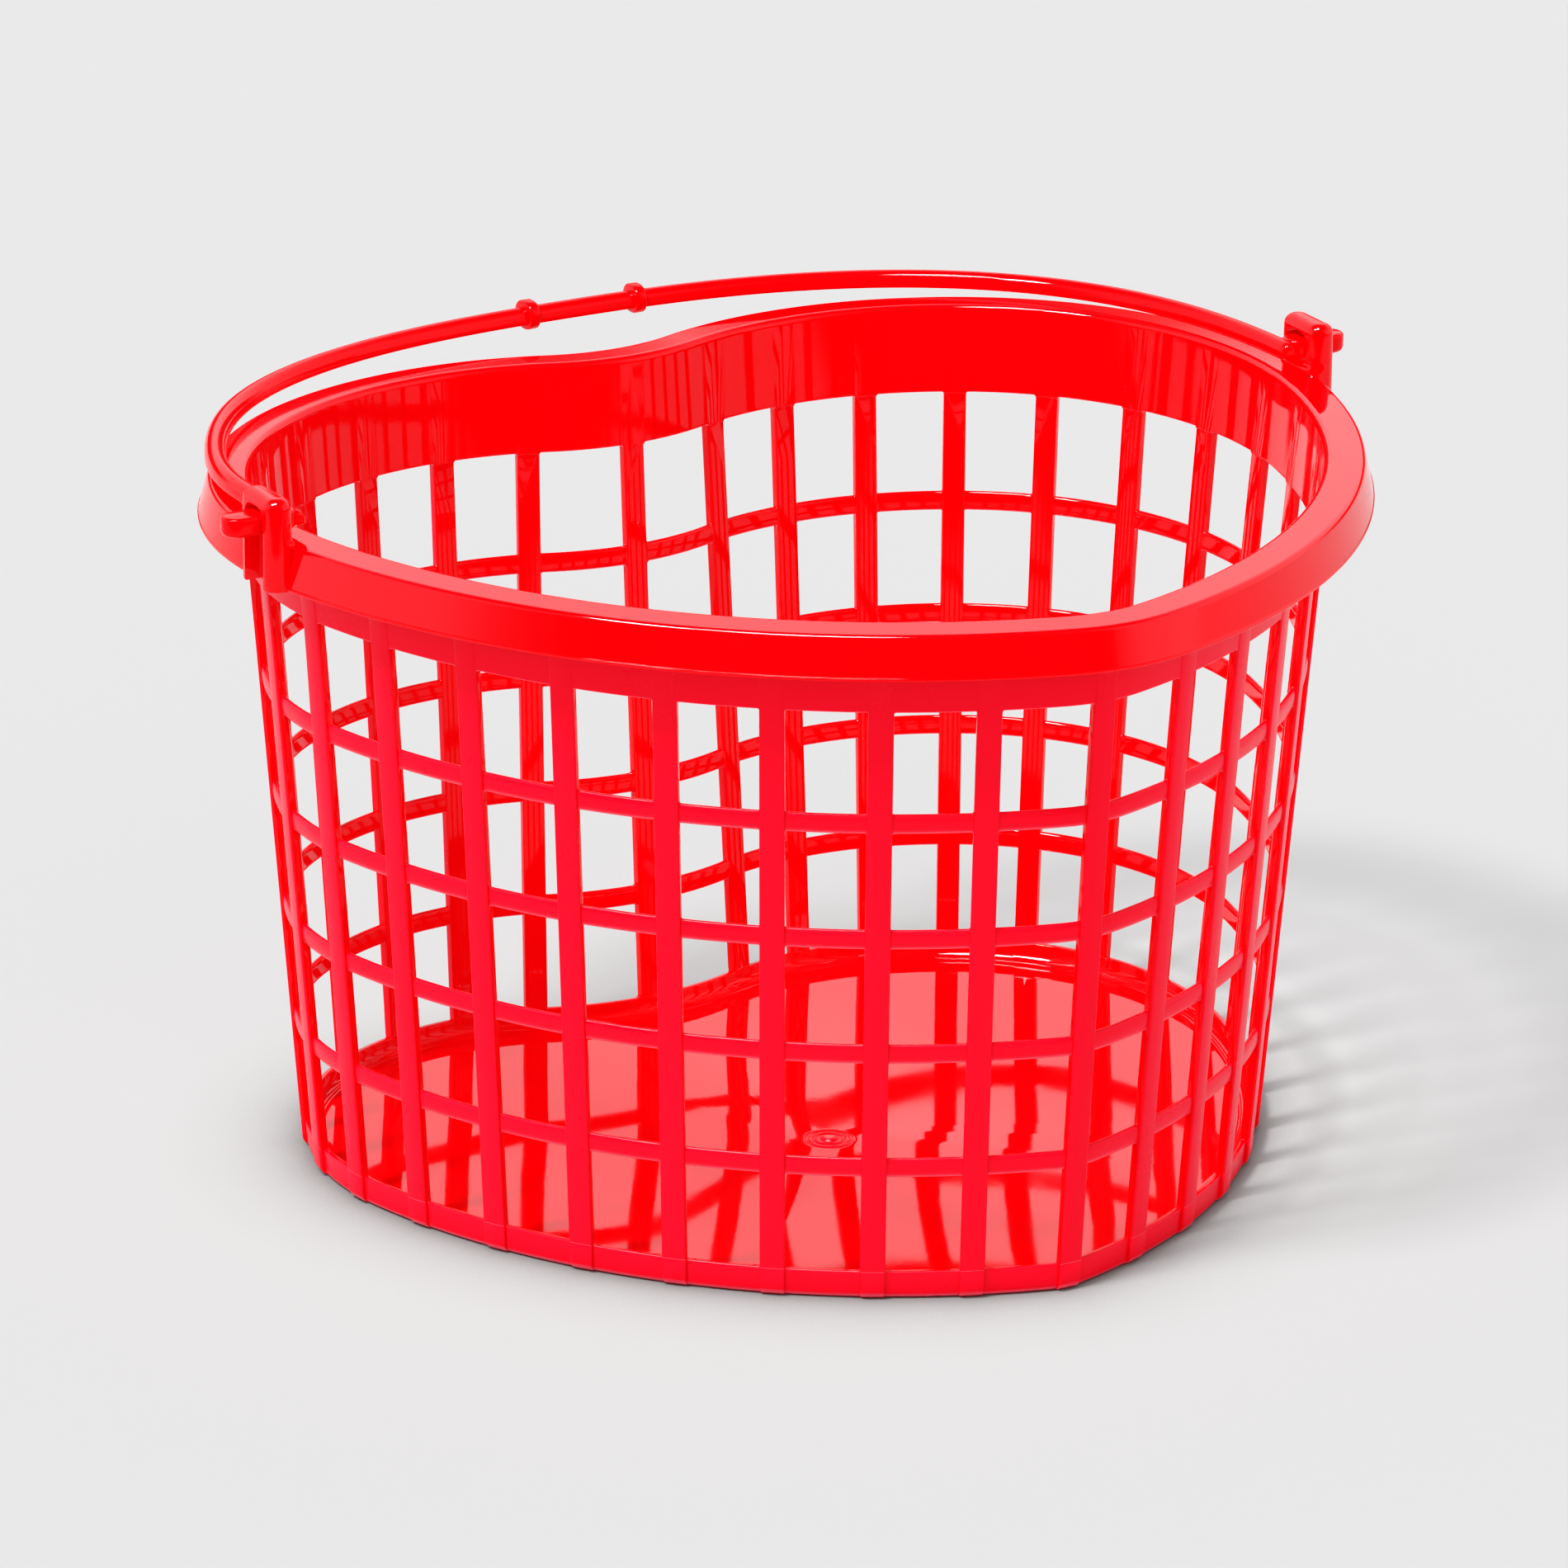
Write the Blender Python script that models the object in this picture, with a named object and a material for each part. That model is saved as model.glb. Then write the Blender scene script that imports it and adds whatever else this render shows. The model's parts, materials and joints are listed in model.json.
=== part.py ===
"""Heart-shaped lattice basket with a folding bail handle.

Two injection mouldings: the basket body, with its two pivot ears moulded on,
and the bail handle, whose flat tongues sit in slots through the ears.

Frame: metres, +Z up. The origin is on the underside, on the heart's line of
symmetry, level with the middle of the sides. The notch of the heart points to
+Y, its tip to -Y, and the two ears stand at +X and -X. The handle is folded
down towards the notch. Sizes below are in millimetres and angles in degrees.
"""

import math
from collections import namedtuple
from itertools import pairwise

import bmesh
import bpy
from mathutils import Matrix

MM = 0.001

# ---- heart outline ------------------------------------------------------
# Right half of the rim's inner edge, from the notch to the tip, as arcs:
# radius, turn in degrees, and the side they turn to (+1 left, -1 right).
NOTCH_Y = 83.8
OUTLINE_ARCS = (
    (56.5, 20.6, 1),
    (85.1, 49.2, -1),
    (81.2, 73.7, -1),
    (171.4, 62.1, -1),
)

# ---- body: offsets are outwards from the outline ------------------------
HEIGHT = 170.0  # underside to rim top
INNER_FACE = -0.8  # offset of the wall's inner face at the rim
DRAFT = 0.075  # the wall leans in by this much per millimetre downwards
SIDE_LEAN = 1.3  # the sides lean in by this much more at the base
TIP_LEAN = 1.0  # and the tip's end by this much less
SIDE_STEP = 0.7  # the sides also step in by this much under the skirt
HOOP_THICKNESS = 1.6
SLAT_PROUD = 0.9  # how far the slats stand out of the hoops
FLOOR_THICKNESS = 2.4
BASE_CHAMFER = 2.0
FLOOR_FILLET = 2.0

RIM_OUTER = 8.8
RIM_THICKNESS = 1.8
RIM_EDGE = 1.4  # size of the rim's rounded edges
SKIRT_OUTER = 11.3
SKIRT_DROP = 10.6
SKIRT_THICKNESS = 1.7
SKIRT_LOW = HEIGHT - SKIRT_DROP
ROUNDING_MIDDLE = 0.29  # setback of a rounding's middle point, as a share of its size

# ---- lattice ------------------------------------------------------------
SLATS_PER_HALF = 16
SLAT_WIDTH = 6.0
# Relative pitches of the slats, scaled to fill the outline's half length
NOTCH_PITCH = 26.5  # between the notch's slat and its neighbours
LOBE_PITCH = 22.6  # the next one, round the lobe
LOBE_STEP = 0.3  # each later pitch on the lobe is this much longer
LOBE_PITCHES = 8
FLANK_PITCH = 25.6  # the first one on the straighter flank
FLANK_STEP = -0.15
FLANK_PITCHES = SLATS_PER_HALF - 2 - LOBE_PITCHES
TIP_PITCH = 27.6  # between the tip's slat and its neighbours
CURB_HEIGHT = 7.0
WINDOW_TOP = 148.0
HOOPS = 4
HOOP_HEIGHT = 4.8
HOOP_PITCH = 28.85
FIRST_HOOP = 33.6  # height of the lowest hoop's middle

# ---- ears and pivot -----------------------------------------------------
PIVOT_Y = 0.6
PIVOT_Z = 174.4
EAR_X = 142.9
EAR_RADIUS = 3.5
EAR_HALF_LENGTH = 4.6  # from its middle to the centre of each round end
EAR_BOTTOM = SKIRT_LOW - 0.4
EAR_TOP = 181.2
EAR_EDGE = 2.4
EAR_EDGE_SEGMENTS = 3
END_SEGMENTS = 12  # round each half-round end of an ear or tongue
SLOT_HALF_WIDTH = 4.5
SLOT_REACH = 8  # the cutters reach this far past the ear's middle
SLOT_SILL = HEIGHT
SLOT_TOP = 179.1
CHANNEL_INNER_X = 142.1  # the channel is open outwards from here
CHANNEL_BOTTOM = SKIRT_LOW - 8
CHANNEL_TOP = SLOT_TOP - 3

# ---- handle: x and y are in the bail's plane, from the pivot ------------
BAIL_HALF_WIDTH = 136.2
BAIL_DEPTH = 117.7
BAIL_EXPONENT = 2.455  # the bail's centre line is a superellipse
BAIL_TILT = -0.9  # its far side dips below level
BAIL_STEPS = 56
BAIL_START = 0.004  # radians, where the superellipse takes over from each arm
ARM_END_Y = -2.6
ROD_WIDTH = 5.2
ROD_THICKNESS = 4.0
SECTION_CHAMFER = 0.5  # at the two corners of the flat underside
SECTION_EDGE = 0.18  # height of the upright sides, as a share of the thickness
CROWN_STEPS = 6
COLLAR_X = (-9.3, 20.7)
COLLAR_PROUD = 1.6
COLLAR_WIDTH = 3.0
TANGENT_STEP = 0.01  # radians, for the direction of the bail at a collar
TONGUE_RADIUS = 3.7
TONGUE_THICKNESS = 4.8
TONGUE_INNER_X = 139.6  # centres of its round ends
TONGUE_OUTER_X = 148.8
TONGUE_EDGE = 1.1
TONGUE_EDGE_SEGMENTS = 2

# ---- materials ----------------------------------------------------------
RED = (0.78, 0.006, 0.022)
BODY_ROUGHNESS = 0.16
HANDLE_ROUGHNESS = 0.14

SIDES = ((1, "right"), (-1, "left"))

Arc = namedtuple("Arc", "x y heading radius turn side")
Column = namedtuple("Column", "foot normal kind")
SLAT_START, SLAT_END, WINDOW_MIDDLE = range(3)


# ---- outline ------------------------------------------------------------
def on_arc(arc, angle):
    """Position and heading after turning by an angle along an arc."""
    lever = arc.side * arc.radius
    centre_x = arc.x - lever * math.sin(arc.heading)
    centre_y = arc.y + lever * math.cos(arc.heading)
    heading = arc.heading + arc.side * angle
    return centre_x + lever * math.sin(heading), centre_y - lever * math.cos(heading), heading


def heart_arcs():
    """The outline's arcs, closed by one more that meets the line x = 0 squarely."""
    arcs = []
    x, y, heading = 0.0, NOTCH_Y, 0.0
    for radius, turn, side in OUTLINE_ARCS:
        arc = Arc(x, y, heading, radius, math.radians(turn), side)
        arcs.append(arc)
        x, y, heading = on_arc(arc, arc.turn)
    arcs.append(Arc(x, y, heading, -x / math.sin(heading), math.pi + heading, -1))
    return arcs


ARCS = heart_arcs()
HALF_LENGTH = sum(arc.radius * arc.turn for arc in ARCS)


def outline_frame(distance):
    """Point, tangent and outward normal on the outline.

    The distance runs from -HALF_LENGTH to HALF_LENGTH; it is 0 at the notch
    and positive on the right half.
    """
    mirror = 1 if distance >= 0 else -1
    left_over = abs(distance)
    for arc in ARCS:
        if left_over <= arc.radius * arc.turn or arc is ARCS[-1]:
            break
        left_over -= arc.radius * arc.turn
    x, y, heading = on_arc(arc, left_over / arc.radius)
    cos, sin = math.cos(heading), math.sin(heading)
    return (mirror * x, y), (cos, mirror * sin), (-mirror * sin, cos)


def slat_positions():
    """Distances of the slats' middles along the outline, in rising order."""
    pitches = [NOTCH_PITCH]
    pitches += [LOBE_PITCH + LOBE_STEP * k for k in range(LOBE_PITCHES)]
    pitches += [FLANK_PITCH + FLANK_STEP * k for k in range(FLANK_PITCHES)]
    pitches += [TIP_PITCH]
    scale = HALF_LENGTH / sum(pitches)
    places = [0.0]
    for pitch in pitches:
        places.append(places[-1] + pitch * scale)
    return [-place for place in places[-2:0:-1]] + places


def lattice_columns():
    """The upright lines that the lattice's faces meet on, in order round the loop.

    Each slat gives three: its two edges and the middle of the window after it.
    """
    columns = []
    places = slat_positions()
    following = places[1:] + [2 * HALF_LENGTH + places[0]]
    for place, after in zip(places, following):
        point, tangent, normal = outline_frame(place)
        for shift, kind in ((-SLAT_WIDTH / 2, SLAT_START), (SLAT_WIDTH / 2, SLAT_END)):
            foot = (point[0] + shift * tangent[0], point[1] + shift * tangent[1])
            columns.append(Column(foot, normal, kind))
        middle = (place + after) / 2
        if middle > HALF_LENGTH:
            middle -= 2 * HALF_LENGTH
        point, _, normal = outline_frame(middle)
        columns.append(Column(point, normal, WINDOW_MIDDLE))
    return columns


# ---- wall profile -------------------------------------------------------
def window_levels():
    """Heights of the windows' sills and heads in turn, from the curb up."""
    levels = [CURB_HEIGHT]
    for k in range(HOOPS):
        middle = FIRST_HOOP + k * HOOP_PITCH
        levels += [middle - HOOP_HEIGHT / 2, middle + HOOP_HEIGHT / 2]
    return levels + [WINDOW_TOP]


LEVELS = window_levels()


def inner_face(z):
    return INNER_FACE - DRAFT * (HEIGHT - z)


def hoop_face(z):
    return inner_face(z) + HOOP_THICKNESS


def slat_face(z):
    return hoop_face(z) + SLAT_PROUD


# A station is (key, offset from the outline, height).
def outside_stations():
    """From the underside up the hoops' outer face to the windows' top."""
    return [
        ("foot", hoop_face(0) - BASE_CHAMFER, 0.0),
        ("heel", hoop_face(BASE_CHAMFER), BASE_CHAMFER),
        *((("out", k), hoop_face(z), z) for k, z in enumerate(LEVELS)),
    ]


def rim_stations():
    """From the band above the windows round the skirt and over the rim."""
    flare = (SKIRT_OUTER - RIM_OUTER) / SKIRT_DROP
    under = HEIGHT - RIM_THICKNESS
    edge_low = HEIGHT - RIM_EDGE
    setback = ROUNDING_MIDDLE * RIM_EDGE
    return [
        ("ledge", slat_face(WINDOW_TOP), WINDOW_TOP),
        ("armpit", slat_face(under), under),
        ("roof", RIM_OUTER + flare * RIM_THICKNESS - SKIRT_THICKNESS, under),
        ("lip_in", SKIRT_OUTER - SKIRT_THICKNESS, SKIRT_LOW),
        ("lip_out", SKIRT_OUTER, SKIRT_LOW),
        ("edge_low", RIM_OUTER + flare * RIM_EDGE, edge_low),
        ("edge_mid", RIM_OUTER + flare * RIM_EDGE / 2 - setback, HEIGHT - setback),
        ("edge_top", RIM_OUTER - RIM_EDGE, HEIGHT),
        ("rim_in", INNER_FACE + RIM_EDGE, HEIGHT),
        ("rim_mid", INNER_FACE + setback, HEIGHT - setback),
        ("rim_low", inner_face(edge_low), edge_low),
    ]


def inside_stations():
    """Down the wall's inner face and into the floor."""
    cove_z = FLOOR_THICKNESS + FLOOR_FILLET
    setback = ROUNDING_MIDDLE * FLOOR_FILLET
    return [
        *((("in", k), inner_face(z), z) for k, z in reversed(list(enumerate(LEVELS)))),
        ("cove", inner_face(cove_z), cove_z),
        ("cove_mid", inner_face(cove_z) - setback, FLOOR_THICKNESS + setback),
        ("floor", inner_face(FLOOR_THICKNESS) - FLOOR_FILLET, FLOOR_THICKNESS),
    ]


# ---- shared helpers -----------------------------------------------------
def new_object(name, bm, collection, material=None):
    mesh = bpy.data.meshes.new(name)
    bm.to_mesh(mesh)
    bm.free()
    obj = bpy.data.objects.new(name, mesh)
    collection.objects.link(obj)
    if material:
        mesh.materials.append(material)
    return obj


def plastic(name, colour, roughness):
    material = bpy.data.materials.new(name)
    material.use_nodes = True
    shader = material.node_tree.nodes["Principled BSDF"]
    shader.inputs["Base Color"].default_value = (*colour, 1)
    shader.inputs["Roughness"].default_value = roughness
    shader.inputs["Metallic"].default_value = 0
    return material


def obround(centre, radius, half_length, bottom, top, axis):
    """An upright block with two half-round ends, long in x (axis 0) or y (axis 1)."""
    half_step = math.pi / (2 * END_SEGMENTS)
    reach = radius / math.cos(half_step) * MM
    bm = bmesh.new()
    bmesh.ops.create_cone(
        bm,
        cap_ends=True,
        segments=2 * END_SEGMENTS,
        radius1=reach,
        radius2=reach,
        depth=(top - bottom) * MM,
    )
    # half a step round, so that no vertex lies on the middle line
    turn = Matrix.Rotation(half_step, 3, "Z")
    bmesh.ops.rotate(bm, verts=bm.verts, cent=(0, 0, 0), matrix=turn)
    for vert in bm.verts:
        vert.co[axis] += math.copysign(half_length * MM, vert.co[axis])
    shift = (centre[0] * MM, centre[1] * MM, (bottom + top) / 2 * MM)
    bmesh.ops.translate(bm, verts=bm.verts, vec=shift)
    return bm


def round_edges(bm, edges, width, segments):
    bmesh.ops.bevel(
        bm,
        geom=edges,
        offset=width * MM,
        offset_type="OFFSET",
        segments=segments,
        profile=0.5,
        affect="EDGES",
        clamp_overlap=True,
    )


def boolean(obj, other, operation):
    modifier = obj.modifiers.new(f"{operation.lower()}_{other.name}", "BOOLEAN")
    modifier.operation = operation
    modifier.solver = "EXACT"
    modifier.object = other


# ---- basket body --------------------------------------------------------
def shell_vertex(bm, column, offset, z):
    """A vertex of the shell, with the leans of the sides and of the tip's end."""
    (foot_x, foot_y), (normal_x, normal_y), _ = column
    low = max(0.0, WINDOW_TOP - z) / WINDOW_TOP
    offset += low * (TIP_LEAN * max(0.0, -normal_y) ** 2 - SIDE_LEAN * normal_x**2)
    step = min(1.0, max(0.0, SKIRT_LOW - z) / (SKIRT_LOW - WINDOW_TOP))
    offset -= SIDE_STEP * step * normal_x**2
    x = foot_x + offset * normal_x
    y = foot_y + offset * normal_y
    return bm.verts.new((x * MM, y * MM, z * MM))


def add_strip(bm, left, right, keys, gaps=()):
    """Join two rows of vertices through the keys, leaving out the gaps."""
    for pair in pairwise(keys):
        if pair not in gaps:
            first, second = pair
            bm.faces.new((left[first], right[first], right[second], left[second]))


def add_window_side(bm, wall):
    """The faces through the wall beside each window of a column."""
    for k in range(0, len(LEVELS), 2):
        corners = (("in", k), ("in", k + 1), ("out", k + 1), ("out", k))
        bm.faces.new([wall[key] for key in corners])


def build_shell(collection, material):
    """The body in one loft: floor, curb, hoops, slats, band, rim and skirt.

    The windows are left out of the loft and their edges joined from the inner
    face to the outer one.
    """
    outside = outside_stations()
    stations = outside + rim_stations() + inside_stations()
    keys = [station[0] for station in stations]
    outside_keys = keys[: len(outside)]
    other_keys = keys[len(outside) :]
    gaps = set()
    for k in range(0, len(LEVELS), 2):
        gaps |= {(("out", k), ("out", k + 1)), (("in", k + 1), ("in", k))}

    bm = bmesh.new()
    columns = lattice_columns()
    walls = [
        {key: shell_vertex(bm, column, offset, z) for key, offset, z in stations}
        for column in columns
    ]
    # The slats' outer faces share the wall's foot and run straight into the band.
    slats = []
    for column, wall in zip(columns, walls):
        slat = {}
        if column.kind != WINDOW_MIDDLE:
            slat = {
                key: shell_vertex(bm, column, offset + SLAT_PROUD, z)
                for key, offset, z in outside[1:-1]
            }
            slat["foot"] = wall["foot"]
            slat[outside_keys[-1]] = wall["ledge"]
        slats.append(slat)

    for i, column in enumerate(columns):
        after = (i + 1) % len(columns)
        left, right = walls[i], walls[after]
        if column.kind == SLAT_START:
            add_strip(bm, slats[i], slats[after], outside_keys)
            add_strip(bm, left, right, other_keys)
            # the slat's two sides, standing out of the hoops
            for wall, slat in ((left, slats[i]), (right, slats[after])):
                bm.faces.new((wall["foot"], wall["heel"], slat["heel"]))
                add_strip(bm, wall, slat, outside_keys[1:])
            continue
        add_strip(bm, left, right, keys, gaps)
        # heads and sills of the windows
        for k in range(len(LEVELS)):
            add_strip(bm, left, right, (("in", k), ("out", k)))
        add_window_side(bm, left if column.kind == SLAT_END else right)
    bm.faces.new([wall["floor"] for wall in walls])
    bm.faces.new([wall["foot"] for wall in reversed(walls)])
    bmesh.ops.recalc_face_normals(bm, faces=bm.faces)
    return new_object("basket_body", bm, collection, material)


def build_ear(side, word, cutters):
    centre = (side * EAR_X, PIVOT_Y)
    bm = obround(centre, EAR_RADIUS, EAR_HALF_LENGTH, EAR_BOTTOM, EAR_TOP, axis=1)
    near_top = (EAR_TOP - 0.01) * MM
    top_edges = [edge for edge in bm.edges if all(v.co.z > near_top for v in edge.verts)]
    round_edges(bm, top_edges, EAR_EDGE, EAR_EDGE_SEGMENTS)
    return new_object(f"ear_{word}", bm, cutters)


def slot_cutter(name, side, inner_x, bottom, top, cutters):
    """A box as wide as the slot, from inner_x outwards past the ear."""
    x_low, x_high = sorted((side * inner_x, side * (EAR_X + SLOT_REACH)))
    low = (x_low, PIVOT_Y - SLOT_HALF_WIDTH, bottom)
    high = (x_high, PIVOT_Y + SLOT_HALF_WIDTH, top)
    bm = bmesh.new()
    bmesh.ops.create_cube(bm, size=1)
    for vert in bm.verts:
        vert.co = [MM * (h if c > 0 else l) for c, l, h in zip(vert.co, low, high)]
    return new_object(name, bm, cutters)


def build_basket(collection, cutters, material):
    """The shell with its ears, each with a slot and a channel open outwards."""
    body = build_shell(collection, material)
    for side, word in SIDES:
        boolean(body, build_ear(side, word, cutters), "UNION")
        for name, inner_x, bottom, top in (
            ("slot", EAR_X - SLOT_REACH, SLOT_SILL, SLOT_TOP),
            ("channel", CHANNEL_INNER_X, CHANNEL_BOTTOM, CHANNEL_TOP),
        ):
            cutter = slot_cutter(f"{name}_{word}", side, inner_x, bottom, top, cutters)
            boolean(body, cutter, "DIFFERENCE")


# ---- handle -------------------------------------------------------------
def bail_point(angle):
    """The bail's centre line, from the right arm (0) round to the left (pi)."""
    cos, sin = math.cos(angle), math.sin(angle)
    power = 2 / BAIL_EXPONENT
    x = math.copysign(abs(cos) ** power, cos) * BAIL_HALF_WIDTH
    return x, sin**power * BAIL_DEPTH


def add_polyline(curve, points):
    spline = curve.splines.new("POLY")
    spline.points.add(len(points) - 1)
    for place, (x, y) in zip(spline.points, points):
        place.co = (x * MM, y * MM, 0, 1)
    return spline


def crowned_section(name, width, thickness, cutters):
    """The bar's section, flat underneath and crowned on top, as a closed 2D curve."""
    half, bottom = width / 2, -thickness / 2
    edge = thickness * SECTION_EDGE
    rise = thickness - edge - SECTION_CHAMFER
    corner_y = bottom + SECTION_CHAMFER
    points = [(-half + SECTION_CHAMFER, bottom), (half - SECTION_CHAMFER, bottom), (half, corner_y)]
    for k in range(CROWN_STEPS + 1):
        angle = math.pi * k / CROWN_STEPS
        points.append((half * math.cos(angle), corner_y + edge + rise * math.sin(angle)))
    points.append((-half, corner_y))
    curve = bpy.data.curves.new(name, "CURVE")
    curve.dimensions = "2D"
    add_polyline(curve, points).use_cyclic_u = True
    obj = bpy.data.objects.new(name, curve)
    cutters.objects.link(obj)
    return obj


def sweep(points, section, cutters):
    """A section swept along a line in the bail's plane, as a welded bmesh."""
    curve = bpy.data.curves.new("sweep_path", "CURVE")
    curve.dimensions = "3D"
    curve.twist_mode = "Z_UP"
    curve.bevel_mode = "OBJECT"
    curve.bevel_object = section
    curve.use_fill_caps = True
    add_polyline(curve, points)
    path = bpy.data.objects.new("sweep_path", curve)
    cutters.objects.link(path)
    bpy.context.view_layer.update()
    graph = bpy.context.evaluated_depsgraph_get()
    mesh = bpy.data.meshes.new_from_object(path.evaluated_get(graph))
    bpy.data.objects.remove(path)
    bm = bmesh.new()
    bm.from_mesh(mesh)
    bpy.data.meshes.remove(mesh)
    bmesh.ops.remove_doubles(bm, verts=bm.verts, dist=0.00001)
    bmesh.ops.recalc_face_normals(bm, faces=bm.faces)
    return bm


def build_rod(collection, cutters, material):
    section = crowned_section("rod_section", ROD_WIDTH, ROD_THICKNESS, cutters)
    span = math.pi - 2 * BAIL_START
    points = [bail_point(BAIL_START + span * k / BAIL_STEPS) for k in range(BAIL_STEPS + 1)]
    points = [(BAIL_HALF_WIDTH, ARM_END_Y), *points, (-BAIL_HALF_WIDTH, ARM_END_Y)]
    return new_object("bail_handle", sweep(points, section, cutters), collection, material)


def build_collar(number, x, section, cutters):
    """A short thicker length of the bar, centred on the bail at x."""
    angle = math.acos(math.copysign((abs(x) / BAIL_HALF_WIDTH) ** (BAIL_EXPONENT / 2), x))
    here = bail_point(angle)
    ahead = bail_point(angle + TANGENT_STEP)
    dx, dy = ahead[0] - here[0], ahead[1] - here[1]
    length = math.hypot(dx, dy)
    half_x, half_y = dx / length * COLLAR_WIDTH / 2, dy / length * COLLAR_WIDTH / 2
    ends = [(here[0] - half_x, here[1] - half_y), (here[0] + half_x, here[1] + half_y)]
    return new_object(f"collar_{number}", sweep(ends, section, cutters), cutters)


def build_tongue(side, word, cutters):
    centre = (side * (TONGUE_INNER_X + TONGUE_OUTER_X) / 2, 0)
    half_length = (TONGUE_OUTER_X - TONGUE_INNER_X) / 2
    half_thickness = TONGUE_THICKNESS / 2
    bm = obround(centre, TONGUE_RADIUS, half_length, -half_thickness, half_thickness, axis=0)
    level = [e for e in bm.edges if abs(e.verts[0].co.z - e.verts[1].co.z) < 1e-7]
    round_edges(bm, level, TONGUE_EDGE, TONGUE_EDGE_SEGMENTS)
    return new_object(f"tongue_{word}", bm, cutters)


def build_handle(collection, cutters, material):
    """The rod, joined with its collars and tongues, all hung on the pivot."""
    pivot = bpy.data.objects.new("handle_pivot", None)
    pivot.location = (0, PIVOT_Y * MM, PIVOT_Z * MM)
    pivot.rotation_euler = (math.radians(BAIL_TILT), 0, 0)
    collection.objects.link(pivot)

    handle = build_rod(collection, cutters, material)
    handle.parent = pivot
    collar_section = crowned_section(
        "collar_section", ROD_WIDTH + 2 * COLLAR_PROUD, ROD_THICKNESS + 2 * COLLAR_PROUD, cutters
    )
    extras = [build_collar(k, x, collar_section, cutters) for k, x in enumerate(COLLAR_X)]
    extras += [build_tongue(side, word, cutters) for side, word in SIDES]
    for extra in extras:
        extra.parent = pivot
        boolean(handle, extra, "UNION")


def main():
    for obj in list(bpy.data.objects):
        bpy.data.objects.remove(obj, do_unlink=True)
    scene = bpy.context.scene.collection
    collection = bpy.data.collections.new("heart_basket")
    cutters = bpy.data.collections.new("cutters")
    scene.children.link(collection)
    scene.children.link(cutters)
    build_basket(collection, cutters, plastic("body_red", RED, BODY_ROUGHNESS))
    build_handle(collection, cutters, plastic("handle_red", RED, HANDLE_ROUGHNESS))
    for obj in cutters.objects:
        obj.hide_render = True
        obj.display_type = "WIRE"
    for obj in collection.objects:
        if obj.type == "MESH":
            obj.data.shade_smooth()
            obj.data.set_sharp_from_angle(angle=math.radians(35))


main()
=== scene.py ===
"""Heart-shaped lattice basket with a folding bail: the fine surface, materials, light and camera.

The heart stands on its floor with its notch towards +Y and its tip towards -Y, nearest the
camera; +X is to the right. Design values are in millimetres, and meshes are built in metres.
"""

import json
import math

import bmesh
import bpy
from mathutils import Matrix, Vector


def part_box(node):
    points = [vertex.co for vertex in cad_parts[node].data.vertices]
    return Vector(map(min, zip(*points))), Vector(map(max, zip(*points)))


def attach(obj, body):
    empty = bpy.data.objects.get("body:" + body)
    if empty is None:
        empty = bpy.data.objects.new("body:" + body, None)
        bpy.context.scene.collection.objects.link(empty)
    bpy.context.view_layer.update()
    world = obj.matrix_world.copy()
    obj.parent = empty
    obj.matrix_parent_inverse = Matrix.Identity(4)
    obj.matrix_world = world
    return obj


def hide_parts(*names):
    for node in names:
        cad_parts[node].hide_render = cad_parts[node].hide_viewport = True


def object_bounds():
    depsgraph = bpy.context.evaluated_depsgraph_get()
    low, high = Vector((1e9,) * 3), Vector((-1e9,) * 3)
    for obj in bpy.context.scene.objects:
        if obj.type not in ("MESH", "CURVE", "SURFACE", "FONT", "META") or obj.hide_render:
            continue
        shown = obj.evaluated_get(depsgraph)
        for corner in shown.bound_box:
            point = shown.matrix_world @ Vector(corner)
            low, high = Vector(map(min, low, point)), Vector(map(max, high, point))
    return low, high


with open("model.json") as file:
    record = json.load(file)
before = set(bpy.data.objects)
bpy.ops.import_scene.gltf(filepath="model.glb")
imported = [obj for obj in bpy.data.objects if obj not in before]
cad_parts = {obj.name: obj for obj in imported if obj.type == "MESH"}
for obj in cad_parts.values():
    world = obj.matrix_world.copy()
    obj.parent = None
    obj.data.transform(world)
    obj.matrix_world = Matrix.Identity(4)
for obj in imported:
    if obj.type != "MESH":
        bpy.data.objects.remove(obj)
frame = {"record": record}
cad_box = [list(corner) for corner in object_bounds()]
MM = 0.001

# ------------------------------------------------------------------ design
# wall: offsets are measured outwards from the heart outline
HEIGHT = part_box("basket_body")[0][2] * 1000 + 170.0
NOTCH_Y = 83.8
# arcs from the notch round the right half: radius, degrees turned, side (1 turns left, -1 right)
OUTLINE_ARCS = ((56.5, 20.6, 1), (85.1, 49.2, -1), (81.2, 73.7, -1), (171.4, 62.1, -1))
DRAFT = 0.075
INNER_FACE = -0.8
SIDE_IN, FRONT_OUT = 1.3, 1.0  # shifts at the foot
SIDE_STEP = 0.7  # the sides step in by this much between skirt and windows
RIGHT_BULGE, BULGE_Y, BULGE_LENGTH = 1.1, 60, 34

SLAT_DEPTH, SLAT_OUTER, SLAT_INNER = 2.5, 6.0, 5.45
SLAT_FOOT = 2.3  # radius at the base of each slat
SLATS_PER_HALF = 16
NOTCH_PITCH, TIP_PITCH = 26.5, 27.6
LOBE_PITCH, LOBE_STEP, LOBE_SLATS = 22.6, 0.3, 8
FLANK_PITCH, FLANK_STEP = 25.6, -0.15

HOOP_DEPTH, HOOP_HEIGHT, HOOP_PITCH, FIRST_HOOP, HOOPS = 1.75, 4.8, 28.85, 33.6, 4
WINDOW_TOP = 148.0
CORNER = 0.55  # fillet in the corners of the windows
FLOOR, COVE, CURB = 2.4, 3.2, 7.0
FLOOR_EDGE, CURB_EDGE = 1.7, 0.45  # radii
GATE_X, GATE_Y, GATE_RADIUS = -4.0, -22.6, 7.0

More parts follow.
